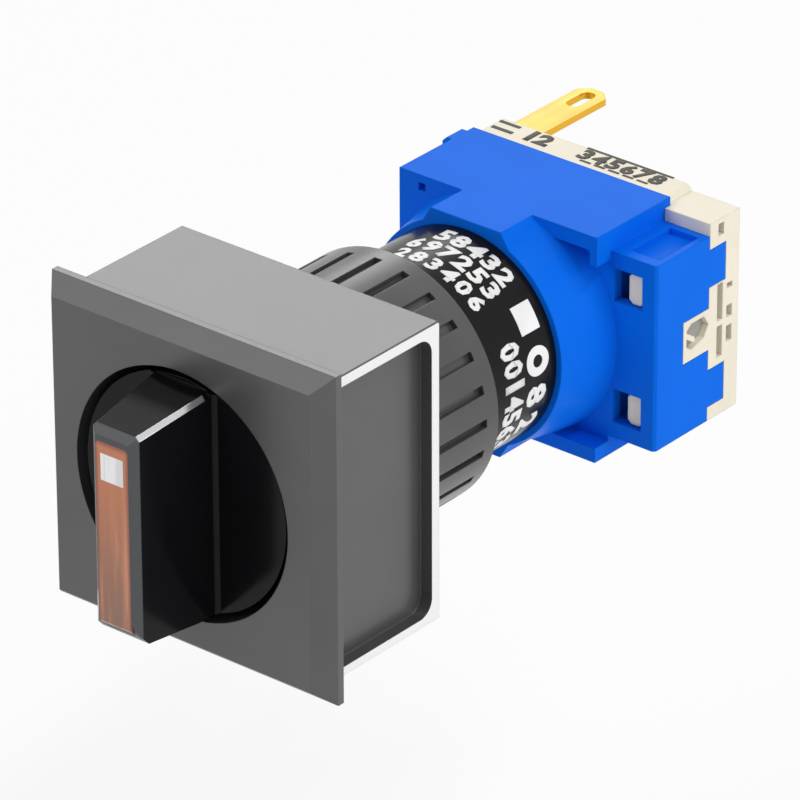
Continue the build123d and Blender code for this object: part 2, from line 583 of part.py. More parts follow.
def build():
    """Make every piece and write it to its own file."""
    nodes = {
        "bezel": bezel(), "panel_gasket": gasket(), "knob": knob(),
        "lens_strip": lens_body() - pointer(), "pointer_tile": pointer(),
        "light_guide": light_guide(), "threaded_barrel": barrel(),
        "locking_ring": lock_ring(), "rotor_shaft": rotor(), "detent_cam": detent_cam(),
        "detent_rollers": detent_rollers(), "detent_springs": detent_springs(),
        "block_housing": housing(),
        "terminal_base": terminal_base(), "upper_slider": slider(1), "lower_slider": slider(-1),
        "upper_bridge": bridge(1), "lower_bridge": bridge(-1),
        "lamp_terminal_upper": lamp_terminal(1), "lamp_terminal_lower": lamp_terminal(-1),
        "lamp_socket": lamp_socket(), "lamp_body": lamp_body(), "lamp_dome": lamp_dome(),
        "lamp_pins": lamp_pins(),
    }
    nodes.update(contact_blades())
    os.makedirs("parts", exist_ok=True)
    for name, shape in nodes.items():
        export_step(shape, f"parts/{name}.step")


build()
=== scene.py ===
import logging
import math
from dataclasses import dataclass, field
from enum import Enum
from typing import Optional, Sequence, Union

import bpy
from mathutils import Matrix, Vector


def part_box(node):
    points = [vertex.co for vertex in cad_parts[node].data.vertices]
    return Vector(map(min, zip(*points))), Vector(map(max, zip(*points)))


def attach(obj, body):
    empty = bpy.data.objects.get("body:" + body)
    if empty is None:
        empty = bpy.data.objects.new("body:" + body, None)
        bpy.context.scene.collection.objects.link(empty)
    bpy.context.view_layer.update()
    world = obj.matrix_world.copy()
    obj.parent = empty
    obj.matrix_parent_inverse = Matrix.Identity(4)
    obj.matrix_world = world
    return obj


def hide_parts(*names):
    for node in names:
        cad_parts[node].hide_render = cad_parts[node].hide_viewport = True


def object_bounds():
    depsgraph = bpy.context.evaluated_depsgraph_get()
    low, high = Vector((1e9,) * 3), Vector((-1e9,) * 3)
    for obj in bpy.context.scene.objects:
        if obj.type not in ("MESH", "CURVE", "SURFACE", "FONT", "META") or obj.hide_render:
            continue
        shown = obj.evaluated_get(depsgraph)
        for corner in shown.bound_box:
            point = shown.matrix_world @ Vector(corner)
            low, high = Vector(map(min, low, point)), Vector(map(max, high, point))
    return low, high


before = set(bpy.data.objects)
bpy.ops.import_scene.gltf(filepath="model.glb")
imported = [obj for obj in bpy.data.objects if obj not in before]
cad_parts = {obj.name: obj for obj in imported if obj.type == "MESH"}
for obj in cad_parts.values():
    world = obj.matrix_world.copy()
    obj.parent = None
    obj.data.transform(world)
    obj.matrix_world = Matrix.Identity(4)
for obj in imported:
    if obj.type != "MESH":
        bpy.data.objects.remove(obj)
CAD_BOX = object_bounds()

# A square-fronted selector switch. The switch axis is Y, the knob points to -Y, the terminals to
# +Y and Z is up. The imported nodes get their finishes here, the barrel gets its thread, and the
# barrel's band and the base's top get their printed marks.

logging.basicConfig(level=logging.INFO, format="%(message)s")
LOG = logging.getLogger("selector_switch")

MM = 0.001
MERGE = 1e-7  # metres within which two points are one
SMOOTH_ANGLE = math.radians(25)  # edges flatter than this are shaded smooth
GRIP_UPPER = 0.8  # share of the knob's height above which the grip's upper corners lie
Colour = tuple[float, float, float]
Point = tuple[float, float, float]
Span = tuple[float, float]
Number = Union["Wire", float]


# ---------------------------------------------------------------- shader maths
class Wire:
    """An output socket that takes part in Python arithmetic.

    Args:
        sheet: The shader sheet that new nodes go into.
        socket: The output socket that carries the value.
    """

    def __init__(self, sheet: "Sheet", socket: bpy.types.NodeSocket) -> None:
        """Keeps the sheet and the socket."""
        self.sheet = sheet
        self.socket = socket

    def _pair(self, operation: str, first: Number, second: Number) -> "Wire":
        """A Math node on two values."""
        return self.sheet.out("ShaderNodeMath", {"operation": operation}, {0: first, 1: second})

    def __add__(self, other: Number) -> "Wire":
        """This value plus another."""
        return self._pair("ADD", self, other)

    def __radd__(self, other: Number) -> "Wire":
        """Another value plus this one."""
        return self._pair("ADD", other, self)

    def __sub__(self, other: Number) -> "Wire":
        """This value less another."""
        return self._pair("SUBTRACT", self, other)

    def __rsub__(self, other: Number) -> "Wire":
        """Another value less this one."""
        return self._pair("SUBTRACT", other, self)

    def __mul__(self, other: Number) -> "Wire":
        """This value times another."""
        return self._pair("MULTIPLY", self, other)

    def __rmul__(self, other: Number) -> "Wire":
        """Another value times this one."""
        return self._pair("MULTIPLY", other, self)

    def __gt__(self, other: Number) -> "Wire":
        """1 where this value is greater than another."""
        return self._pair("GREATER_THAN", self, other)

    def __lt__(self, other: Number) -> "Wire":
        """1 where this value is less than another."""
        return self._pair("LESS_THAN", self, other)

    def __abs__(self) -> "Wire":
        """The value without its sign."""
        return self.sheet.out("ShaderNodeMath", {"operation": "ABSOLUTE"}, {0: self})

    def most(self, other: Number) -> "Wire":
        """The larger of two values."""
        return self._pair("MAXIMUM", self, other)

    def held(self) -> "Wire":
        """The value kept between 0 and 1."""
        settings = {"operation": "ADD", "use_clamp": True}
        return self.sheet.out("ShaderNodeMath", settings, {0: self, 1: 0.0})

    def rise(self, low: float, high: float) -> "Wire":
        """0 below low and 1 above high, with a smooth rise between them."""
        inputs = {"Value": self, "From Min": low, "From Max": high}
        return self.sheet.out("ShaderNodeMapRange", {"interpolation_type": "SMOOTHSTEP"}, inputs)


class Sheet:
    """A node tree that nodes are added to with their settings and inputs.

    Args:
        tree: The node tree.
    """

    def __init__(self, tree: bpy.types.NodeTree) -> None:
        """Keeps the node tree."""
        self.tree = tree

    def node(self, kind: str, settings: Optional[dict] = None,
             inputs: Optional[dict] = None) -> bpy.types.Node:
        """Adds a node.

        Args:
            kind: The node's type.
            settings: Its own settings, which are set first.
            inputs: Its sockets, by name or number, and a number, colour or Wire for each.

        Returns:
            The new node.
        """
        made = self.tree.nodes.new(kind)
        for name, value in (settings or {}).items():
            setattr(made, name, value)
        for key, value in (inputs or {}).items():
            self.feed(made.inputs[key], value)
        return made

    def out(self, kind: str, settings: Optional[dict] = None, inputs: Optional[dict] = None,
            output: Union[int, str] = 0) -> Wire:
        """Adds a node and gives the output of this name or number."""
        return Wire(self, self.node(kind, settings, inputs).outputs[output])

    def feed(self, socket: bpy.types.NodeSocket, value: Union[Wire, float, Colour]) -> None:
        """Links a Wire to a socket, or sets a plain value on it.

        Args:
            socket: The input socket.
            value: A Wire, a number or a colour.
        """
        if isinstance(value, Wire):
            self.tree.links.new(value.socket, socket)
        elif isinstance(value, tuple) and socket.type == "RGBA":
            socket.default_value = (*value, 1.0)
        else:
            socket.default_value = value

    def background_rays(self) -> Wire:
        """1 for rays that show a background: from the camera, a mirror or clear plastic.

        Returns:
            1 or 0.
        """
        path = self.node("ShaderNodeLightPath")
        names = ("Is Camera Ray", "Is Glossy Ray", "Is Transmission Ray")
        camera, glossy, clear = (Wire(self, path.outputs[name]) for name in names)
        return (camera + glossy + clear).held()


class Surface(Sheet):
    """A material around one Principled shader, with Object coordinates to vary it by.

    Args:
        name: The material's name.

    Attributes:
        relief_strength: Share of the fine relief that shows.
        edge_samples: Samples of each softened edge.
    """

    relief_strength: float = 0.4
    edge_samples: int = 6

    def __init__(self, name: str) -> None:
        """Makes the material, and splits its Object coordinates.

        Args:
            name: The material's name.
        """
        self.material = bpy.data.materials.new(name)
        self.material.use_nodes = True
        super().__init__(self.material.node_tree)
        self.shader = next(n for n in self.tree.nodes if n.type == "BSDF_PRINCIPLED")
        self.point = self.out("ShaderNodeTexCoord", output="Object")
        self.x, self.y, self.z = self._split(self.point)

    def _split(self, vector: Wire) -> tuple[Wire, Wire, Wire]:
        """The three parts of a vector."""
        node = self.node("ShaderNodeSeparateXYZ", inputs={0: vector})
        return tuple(Wire(self, out) for out in node.outputs)

    def facing(self) -> tuple[Wire, Wire, Wire]:
        """The surface's own direction, split into X, Y and Z."""
        return self._split(self.out("ShaderNodeTexCoord", output="Normal"))

    def noise(self, per_mm: float, detail: float = 3.0,
              squeeze: Optional[Colour] = None) -> Wire:
        """Noise between about 0 and 1.

        Args:
            per_mm: Features in a millimetre.
            detail: Octaves of finer noise.
            squeeze: How far each axis is squeezed first, for streaks.

        Returns:
            The noise.
        """
        point = self.point
        if squeeze is not None:
            point = self.out("ShaderNodeVectorMath", {"operation": "MULTIPLY"},
                             {0: point, 1: squeeze})
        inputs = {"Vector": point, "Scale": per_mm / MM, "Detail": detail}
        return self.out("ShaderNodeTexNoise", inputs=inputs)

    def blend(self, factor: Number, first: Union[Wire, Colour],
              second: Union[Wire, Colour]) -> Wire:
        """A colour that goes from first to second as the factor rises."""
        inputs = {0: factor, 6: first, 7: second}
        return self.out("ShaderNodeMix", {"data_type": "RGBA"}, inputs, 2)

    def set(self, **values: Union[Wire, float, Colour]) -> "Surface":
        """Sets or links Principled sockets.

        Args:
            values: Socket names in lower case with underscores, and their values.

        Returns:
            The surface itself.
        """
        sockets = {socket.name.lower().replace(" ", "_"): socket for socket in self.shader.inputs}
        for name, value in values.items():
            self.feed(sockets[name], value)
        return self

    def relief(self, height: Wire, depth_mm: float, edge_mm: float = 0.0) -> "Surface":
        """Adds fine relief, and softens sharp edges.

        Args:
            height: Relief between 0 and 1.
            depth_mm: Its depth.
            edge_mm: Radius of the softened edges, or 0 to leave them sharp.

        Returns:
            The surface itself.
        """
        inputs = {"Height": height, "Distance": depth_mm * MM,
                  "Strength": self.relief_strength}
        if edge_mm:
            inputs["Normal"] = self.out("ShaderNodeBevel", {"samples": self.edge_samples},
                                        {"Radius": edge_mm * MM})
        return self.set(normal=self.out("ShaderNodeBump", inputs=inputs))


# ---------------------------------------------------------------- finishes
class Grain(Enum):
    """Fine relief of a surface: noise per millimetre, squeeze, depth in mm, roughness spread."""

    SPARKED = (9.0, None, 0.006, 0.12)
    MOULDED = (2.0, None, 0.003, 0.06)
    POLISHED = (1.2, (1.0, 0.15, 1.0), 0.004, 0.08)
    ROLLED = (2.2, (1.0, 0.07, 1.0), 0.005, 0.18)
    DRAWN = (3.0, (0.2, 1.0, 0.2), 0.004, 0.15)


@dataclass(frozen=True)
class Finish:
    """A moulded, stamped or printed finish.

    Args:
        name: The finish's name.
        colour: Linear base colour.
        roughness: Mean roughness.
        grain: Fine relief.
        metallic: 1 for bare metal.
        mottle: How much the colour drifts over the surface.
        edge_mm: Radius of the softened edges.
        extra: Other plain Principled values.
        drift_per_mm: Features of the broad drift in a millimetre.
        drift_span: Noise over which the drift goes from dark to light.
    """

    name: str
    colour: Colour
    roughness: float
    grain: Grain = Grain.SPARKED
    metallic: float = 0.0
    mottle: float = 0.1
    edge_mm: float = 0.0
    extra: dict = field(default_factory=dict)
    drift_per_mm: float = 0.16
    drift_span: Span = (0.3, 0.7)

    def surface(self) -> Surface:
        """Builds the finish.

        Returns:
            The new surface.
        """
        made = Surface(self.name)
        made.set(metallic=self.metallic, **self.extra)
        made.set(base_color=self.tint(made))
        return self.texture(made)

    def tint(self, made: Surface) -> Wire:
        """The base colour with its broad drift.

        Args:
            made: The surface under way.

        Returns:
            The base colour.
        """
        dark = tuple(part * (1.0 - self.mottle) for part in self.colour)
        light = tuple(min(1.0, part * (1.0 + self.mottle)) for part in self.colour)
        drift = made.noise(self.drift_per_mm, detail=2.0).rise(*self.drift_span)
        return made.blend(drift, dark, light)

    def texture(self, made: Surface) -> Surface:
        """Adds the grain's relief and its spread of roughness.

        Args:
            made: The surface under way.

        Returns:
            The same surface.
        """
        per_mm, squeeze, depth, spread = self.grain.value
        fine = made.noise(per_mm, squeeze=squeeze)
        made.set(roughness=fine * spread + (self.roughness - spread / 2))
        return made.relief(fine, depth, self.edge_mm)


@dataclass(frozen=True)
class BezelFinish(Finish):
    """Satin charcoal, with a painted highlight on the rims of the two side panels.

    Args:
        rim_x_mm: Distances from the axis between which a side face belongs to the rim.
        rim_y_mm: How far behind the plate's front the rim starts.
        rim: Linear colour of the painted highlight on the rim.
        sideways: How squarely a face of the rim looks to the side.
    """

    rim_x_mm: Span = (10.93, 11.1)
    rim_y_mm: float = 1.95
    # painted highlight: pale colour of the side panels' rims
    rim: Colour = (0.80, 0.80, 0.80)
    sideways: float = 0.7

    def tint(self, made: Surface) -> Wire:
        """Charcoal, with a painted highlight on the rims.

        Args:
            made: The surface under way.

        Returns:
            The base colour.
        """
        low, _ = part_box("bezel")
        body = super().tint(made)
        side = abs(made.facing()[0]) > self.sideways
        inner, outer = self.rim_x_mm
        rim = (abs(made.x) > inner * MM) * (abs(made.x) < outer * MM) * side
        # painted highlight: the rims' side faces get a pale base colour
        return made.blend(rim * (made.y > low.y + self.rim_y_mm * MM), body, self.rim)


@dataclass(frozen=True)
class KnobFinish(Finish):
    """Polished black with painted sheen grey on the tip round the lens and painted highlights on
    the grip's upper corners.

    Args:
        tip_mm: Depth of the tip's painted sheen.
        fade_mm: Width of the tip's fading edge.
        tip_sheen: Linear colour of the painted sheen on the tip.
        bright: Linear colour of the painted highlight on the grip's two upper corners.
        disc_y_mm: Y in front of the disc, behind which no highlight is painted.
        slope: How far a face with the painted highlight looks to the side, at least and at most.
        upward: How far it looks up, at least.
    """

    tip_mm: float = 0.56
    fade_mm: float = 0.1
    tip_sheen: Colour = (0.085, 0.09, 0.095)
    bright: Colour = (0.55, 0.55, 0.56)
    disc_y_mm: float = -13.2
    slope: Span = (0.4, 0.9)
    upward: float = 0.4

    def tint(self, made: Surface) -> Wire:
        """Black, with painted sheen grey at the tip and a painted highlight at the corners, which
        also shine like metal.

        Args:
            made: The surface under way.

        Returns:
            The base colour.
        """
        low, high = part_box("knob")
        tip = low.y + self.tip_mm * MM
        edge = made.y.rise(tip - self.fade_mm * MM, tip)
        across, _, upward = made.facing()
        least, most = self.slope
        sloped = (abs(across) > least) * (abs(across) < most) * (upward > self.upward)
        ahead = (made.z > GRIP_UPPER * high.z) * (made.y < self.disc_y_mm * MM)
        # painted highlight: the grip's upper corners get a pale, metallic base colour
        corner = sloped * ahead * edge
        made.set(metallic=corner)
        # painted sheen: grey base colour on the tip of the black knob
        black = made.blend(edge, self.tip_sheen, super().tint(made))
        return made.blend(corner, black, self.bright)


@dataclass(frozen=True)
class LensFinish(Finish):
    """Amber strip that is warmer at the top and darker round its border.

    Args:
        low_colour: Linear colour of the lower end.
        streak: Linear colour of the streaks.
        border: Linear colour of the border.
        border_mm: Width of the border at the sides and at the top.
        border_share: How much of its colour the border has.
    """

    low_colour: Colour = (0.27, 0.14, 0.095)
    streak: Colour = (0.60, 0.25, 0.14)
    border: Colour = (0.24, 0.065, 0.045)
    border_mm: Span = (0.32, 0.45)
    border_share: float = 0.8

    def tint(self, made: Surface) -> Wire:
        """Amber from end to end, streaked along its length.

        Args:
            made: The surface under way.

        Returns:
            The base colour.
        """
        low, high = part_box("lens_strip")
        body = made.blend(made.z.rise(low.z, high.z), self.low_colour, self.colour)
        streaks = made.noise(1.5, squeeze=(1.0, 1.0, 0.08)).rise(0.4, 0.8)
        body = made.blend(streaks, body, self.streak)
        side_mm, top_mm = self.border_mm
        across = abs(made.x).rise(high.x - side_mm * MM, high.x)
        end = made.z.rise(high.z - top_mm * MM, high.z)
        return made.blend(across.most(end) * self.border_share, body, self.border)


@dataclass(frozen=True)
class CreamFinish(Finish):
    """Cream moulding with painted shade on the floors of its side pockets.

    Args:
        inside: Linear colour of the painted shade on the pockets' floors.
        pocket_mm: Depth of the pockets.
        within_mm: How near to that depth a pocket's floor lies.
        sideways: How squarely the floor looks to the side.
    """

    inside: Colour = (0.33, 0.33, 0.31)
    pocket_mm: float = 0.45
    within_mm: float = 0.04
    sideways: float = 0.8

    def tint(self, made: Surface) -> Wire:
        """Cream, with painted shade grey on the pockets' floors.

        Args:
            made: The surface under way.

        Returns:
            The base colour.
        """
        _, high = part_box("terminal_base")
        floor = high.x - self.pocket_mm * MM
        near = abs(made.x - floor) < self.within_mm * MM
        side = abs(made.facing()[0]) > self.sideways
        # painted shade: the pockets' floors get a grey base colour
        return made.blend(near * side, super().tint(made), self.inside)


@dataclass(frozen=True)
class GoldFinish(Finish):
    """Gold flash on brass, deeper in colour on the cut edges.

    Args:
        cut: Linear colour of the cut edges.
        upright: How little a cut edge looks up or down.
    """

    cut: Colour = (0.80, 0.44, 0.02)
    upright: float = 0.5

    def tint(self, made: Surface) -> Wire:
        """Gold with deeper edges."""
        return made.blend(abs(made.facing()[2]) < self.upright, super().tint(made), self.cut)


@dataclass(frozen=True)
class TileFinish(Finish):
    """White tile with faint upright brushing.

    Args:
        brushed: Linear colour along the brushing.
    """

    brushed: Colour = (0.74, 0.74, 0.76)

    def tint(self, made: Surface) -> Wire:
        """White, a little greyer along the brushing."""
        lines = made.noise(2.5, detail=2.0, squeeze=(1.0, 1.0, 0.05)).rise(0.45, 0.6)
        return made.blend(lines, self.colour, self.brushed)


FINISHES: dict[str, Finish] = {
    "bezel": BezelFinish("satin_charcoal", (0.055, 0.055, 0.057), 0.33, Grain.MOULDED,
                         mottle=0.06, edge_mm=0.1, extra={"specular_ior_level": 0.8}),
    "knob": KnobFinish("polished_black", (0.005, 0.005, 0.006), 0.16, Grain.POLISHED,
                       edge_mm=0.08, extra={"specular_ior_level": 0.13}),
    "lens": LensFinish("amber_lens", (0.56, 0.19, 0.085), 0.25, Grain.POLISHED,
                       extra={"subsurface_weight": 0.1, "subsurface_scale": 0.0006}),
    "tile": TileFinish("white_tile", (0.9, 0.9, 0.91), 0.3, Grain.POLISHED),
    "band": Finish("barrel_polished_black", (0.006, 0.006, 0.0065), 0.2, Grain.MOULDED,
                   edge_mm=0.08, extra={"specular_ior_level": 0.12}),
    "ring": Finish("ring_satin_grey", (0.06, 0.06, 0.062), 0.25, Grain.MOULDED, edge_mm=0.1),
    "blue": Finish("blue_moulding", (0.002, 0.14, 0.76), 0.38, Grain.MOULDED, mottle=0.03,
                   edge_mm=0.14, extra={"specular_ior_level": 0.03}),
    "cream": CreamFinish("cream_moulding", (0.80, 0.74, 0.61), 0.5, Grain.MOULDED, mottle=0.03,
                         edge_mm=0.12, extra={"specular_ior_level": 0.25}),
    "nylon": Finish("grey_nylon", (0.42, 0.42, 0.40), 0.45),
    "socket": Finish("black_socket", (0.02, 0.02, 0.02), 0.4),
    "rubber": Finish("black_rubber", (0.014, 0.014, 0.014), 0.75),
    "clear": Finish("clear_moulding", (0.85, 0.88, 0.88), 0.12, Grain.POLISHED,
                    extra={"transmission_weight": 0.85, "ior": 1.49}),
    "steel": Finish("spring_steel", (0.62, 0.62, 0.6), 0.25, Grain.ROLLED, 1.0),
    "brass": Finish("contact_brass", (0.78, 0.55, 0.22), 0.3, Grain.DRAWN, 1.0),
    "gold": GoldFinish("gold_flash", (0.50, 0.30, 0.045), 0.34, Grain.ROLLED, 0.8, edge_mm=0.05),
    "white_ink": Finish("white_ink", (0.78, 0.78, 0.76), 0.5, mottle=0.12),
    "dark_ink": Finish("dark_ink", (0.035, 0.032, 0.022), 0.6, mottle=0.4),
}


class Palette:
    """Makes each finish once and puts it on nodes and pieces."""

    def __init__(self) -> None:
        """Starts with no finish made."""
        self.made: dict[str, bpy.types.Material] = {}

    def material(self, key: str) -> bpy.types.Material:
        """The material of a finish, made on first use.

        Args:
            key: The finish.

        Returns:
            Its material.
        """
        if key not in self.made:
            self.made[key] = FINISHES[key].surface().material
        return self.made[key]

    def dress(self, nodes: dict[str, str]) -> None:
        """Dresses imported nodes.

        Args:
            nodes: Each node's name and its finish.
        """
        for node, key in nodes.items():
            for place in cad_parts[node].material_slots:
                place.material = self.material(key)
            LOG.info("%s: %s", node, FINISHES[key].name)

    def fit(self, item: bpy.types.Object, key: str, slot: str,
            body: str = "switch_frame") -> None:
        """Finishes a new piece and fixes it to a body.

        Args:
            item: The piece.
            key: Its finish.
            slot: The record's material slot; not used.
            body: The body that it moves with.
        """
        item.data.materials.clear()
        item.data.materials.append(self.material(key))
        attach(item, body)
        LOG.info("%s: %s, %d faces", item.name, FINISHES[key].name, len(item.data.polygons))


# ---------------------------------------------------------------- modelling
class Bench:
    """Modelling steps that several pieces share."""

    @staticmethod
    def clear() -> None:
        """Leaves edit mode and deselects everything."""
        if bpy.context.object and bpy.context.object.mode != "OBJECT":
            bpy.ops.object.mode_set(mode="OBJECT")
        bpy.ops.object.select_all(action="DESELECT")

    @classmethod
    def pick(cls, *items: bpy.types.Object) -> bpy.types.Object:
        """Selects only these objects, with the first one active.

        Args:
            items: The objects.

        Returns:
            The first one.
        """
        cls.clear()
        for item in items:
            item.select_set(True)
        bpy.context.view_layer.objects.active = items[0]
        return items[0]

    @classmethod
    def edit(cls, item: bpy.types.Object) -> None:
        """Opens an object in edit mode with all of it selected.

        Args:
            item: The object.
        """
        cls.pick(item)
        bpy.ops.object.mode_set(mode="EDIT")
        bpy.ops.mesh.select_all(action="SELECT")

    @classmethod
    def settle(cls, item: bpy.types.Object) -> bpy.types.Object:
        """Moves an object's place and turn into its mesh.

        Args:
            item: The object.

        Returns:
            The same object.
        """
        cls.pick(item)
        bpy.ops.object.transform_apply(location=True, rotation=True, scale=True)
        return item

    @classmethod
    def modify(cls, item: bpy.types.Object, kind: str, **settings: object) -> bpy.types.Object:
        """Adds a modifier and applies it.

        Args:
            item: The object.
            kind: The modifier's type.
            settings: Its settings.

        Returns:
            The same object.
        """
        cls.pick(item)
        modifier = item.modifiers.new(kind.lower(), kind)
        for name, value in settings.items():
            setattr(modifier, name, value)
        bpy.ops.object.modifier_apply(modifier=modifier.name)
        return item

    @classmethod
    def join(cls, name: str, items: Sequence[bpy.types.Object]) -> bpy.types.Object:
        """Joins objects into one.

        Args:
            name: The name of the whole.
            items: The objects.

        Returns:
            The whole.
        """
        whole = cls.pick(*items)
        bpy.ops.object.join()
        whole.name = name
        return whole

    @staticmethod
    def merge() -> None:
        """Merges the doubled points of what is selected in edit mode."""
        bpy.ops.mesh.remove_doubles(threshold=MERGE)

    @classmethod
    def carve(cls, item: bpy.types.Object, cutter: bpy.types.Object) -> None:
        """Cuts a cutter out of a solid and removes the cutter."""
        cls.modify(item, "BOOLEAN", operation="DIFFERENCE", object=cutter, solver="EXACT")
        bpy.data.objects.remove(cutter)

    @classmethod
    def smooth(cls, item: bpy.types.Object) -> None:
        """Shades an object smooth, apart from its sharp edges."""
        cls.pick(item)
        bpy.ops.object.shade_smooth_by_angle(angle=SMOOTH_ANGLE)

    @classmethod
    def twin(cls, node: str, name: str) -> bpy.types.Object:
        """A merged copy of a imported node, with its own mesh.

        Args:
            node: The node.
            name: The copy's name.

        Returns:
            The copy.
        """
        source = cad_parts[node]
        item = bpy.data.objects.new(name, source.data.copy())
        bpy.context.scene.collection.objects.link(item)
        cls.pick(item)
        bpy.ops.mesh.customdata_custom_splitnormals_clear()
        cls.edit(item)
        cls.merge()
        cls.clear()
        return item


class MarkKind(Enum):
    """Kinds of printed figure."""

    DIGIT = "digit"
    BLOCK = "block"
    RING = "ring"


@dataclass(frozen=True)
class Mark:
    """A flat printed figure.

    Args:
        kind: The figure.
        across: Its middle along the reading direction, in mm.
        up: Its middle at right angles to that, in mm.
        width: Its width in mm.
        height: Its height in mm.
        text: A digit figure's digits.
        stretch: The most that a digit is widened against its height.
        bold: How much a digit's strokes are thickened, as a share of its height.
        wall: Width of a ring's stroke, as a share of the ring's width.
    """

    kind: MarkKind
    across: float
    up: float
    width: float
    height: float
    text: str = ""
    stretch: float = 1.15
    bold: float = 0.045
    wall: float = 0.29

    def draw(self) -> bpy.types.Object:
        """Draws the figure in the XY plane.

        Returns:
            The flat figure.
        """
        Bench.clear()
        makers = {MarkKind.DIGIT: self._digit, MarkKind.BLOCK: self._block,
                  MarkKind.RING: self._ring}
        makers[self.kind]()
        item = bpy.context.object
        tall = self.height * MM / item.dimensions.y
        wide = self.width * MM / item.dimensions.x
        if self.kind is MarkKind.DIGIT:
            wide = min(wide, self.stretch * tall)
        item.scale = (wide, tall, 1.0)
        Bench.settle(item)
        item.location = (self.across * MM, self.up * MM, 0.0)
        return Bench.settle(item)

    def _digit(self) -> None:
        """Digits as a triangulated mesh, centred on their own box."""
        bpy.ops.object.text_add()
        item = bpy.context.object
        item.data.body = self.text
        item.data.size = self.height * MM
        item.data.resolution_u = 2
        item.data.offset = self.bold * self.height * MM
        bpy.ops.object.convert(target="MESH")
        bpy.ops.object.origin_set(type="ORIGIN_GEOMETRY", center="BOUNDS")
        item = bpy.context.object
        item.location = (0.0, 0.0, 0.0)
        Bench.edit(item)
        Bench.merge()
        bpy.ops.mesh.quads_convert_to_tris()
        bpy.ops.mesh.subdivide(number_cuts=2)
        bpy.ops.object.mode_set(mode="OBJECT")

    def _block(self) -> None:
        """A rectangle with a few cuts, so that it follows a round surface."""
        bpy.ops.mesh.primitive_plane_add(size=self.width * MM)
        Bench.edit(bpy.context.object)
        bpy.ops.mesh.subdivide(number_cuts=5)
        bpy.ops.object.mode_set(mode="OBJECT")

    def _ring(self) -> None:
        """A disc with its middle inset and cut out."""
        bpy.ops.mesh.primitive_circle_add(vertices=32, radius=self.width / 2 * MM,
                                          fill_type="NGON")
        item = bpy.context.object
        Bench.edit(item)
        bpy.ops.mesh.inset(thickness=self.wall * self.width * MM)
        bpy.ops.mesh.delete(type="FACE")
        bpy.ops.object.mode_set(mode="OBJECT")


# ---------------------------------------------------------------- sub-assemblies
@dataclass
class FrontOperator:
    """The square bezel and the knob with its lens.

    Args:
        palette: The finishes.
        corner_mm: What is cut off each side of the grip's two upper corners.
        beyond_mm: How far the cut runs on past the ends of a corner.
        cutter_mm: Width and height of the block that makes the cut.
        nodes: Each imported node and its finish.
    """

    palette: Palette
    corner_mm: float = 0.3
    beyond_mm: float = 0.4
    cutter_mm: Span = (3.0, 1.0)
    nodes: dict[str, str] = field(default_factory=lambda: {
        "bezel": "bezel", "knob": "knob", "lens_strip": "lens", "pointer_tile": "tile",
        "light_guide": "clear", "panel_gasket": "rubber"})

    def build(self) -> None:
        """Dresses the front's nodes and bevels the grip."""
        self.palette.dress(self.nodes)
        self._grip_corners()

    @staticmethod
    def _corner(item: bpy.types.Object, side: int) -> tuple[Vector, Vector]:
        """The ends of the grip's long upper edge on one side, the tip's end first.

        Args:
            item: The knob's copy.
            side: -1 or 1, the sign of X.

        Returns:
            The two ends in metres.
        """
        _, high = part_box("knob")
        ends = [[item.data.vertices[i].co.copy() for i in edge.vertices]
                for edge in item.data.edges]
        upper = [pair for pair in ends if all(
            side * point.x > 0 and point.z > GRIP_UPPER * high.z for point in pair)]
        longest = max(upper, key=lambda pair: abs(pair[0].y - pair[1].y))
        start, end = sorted(longest, key=lambda point: point.y)
        return start, end

    def _corner_cutter(self, side: int, start: Vector, end: Vector) -> bpy.types.Object:
        """A block whose lower face takes a corner off, a little longer than the edge.

        Args:
            side: -1 or 1, the sign of X.
            start: The edge's end at the tip.
            end: The edge's end at the disc.

        Returns:
            The block.
        """
        along = (end - start).normalized()
        outward = Vector((side, 0.0, 1.0))
        outward = (outward - along * outward.dot(along)).normalized()
        turn = Matrix((along.cross(outward), along, outward)).transposed().to_euler()
        width, height = (part * MM for part in self.cutter_mm)
        length = (end - start).length + 2 * self.beyond_mm * MM
        depth = self.corner_mm * MM / math.sqrt(2)
        middle = (start + end) / 2 + outward * (height / 2 - depth)
        bpy.ops.mesh.primitive_cube_add(
            size=1, location=middle, rotation=turn, scale=(width, length, height))
        return Bench.settle(bpy.context.object)

    def _grip_corners(self) -> None:
        """Cuts the grip's long upper corners off a copy, which stands for the knob."""
        item = Bench.twin("knob", "knob_moulding")
        for side in (-1, 1):
            start, end = self._corner(item, side)
            Bench.carve(item, self._corner_cutter(side, start, end))
        Bench.smooth(item)
        self.palette.fit(item, "knob", "black_knob", "turning_knob")
        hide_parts("knob")


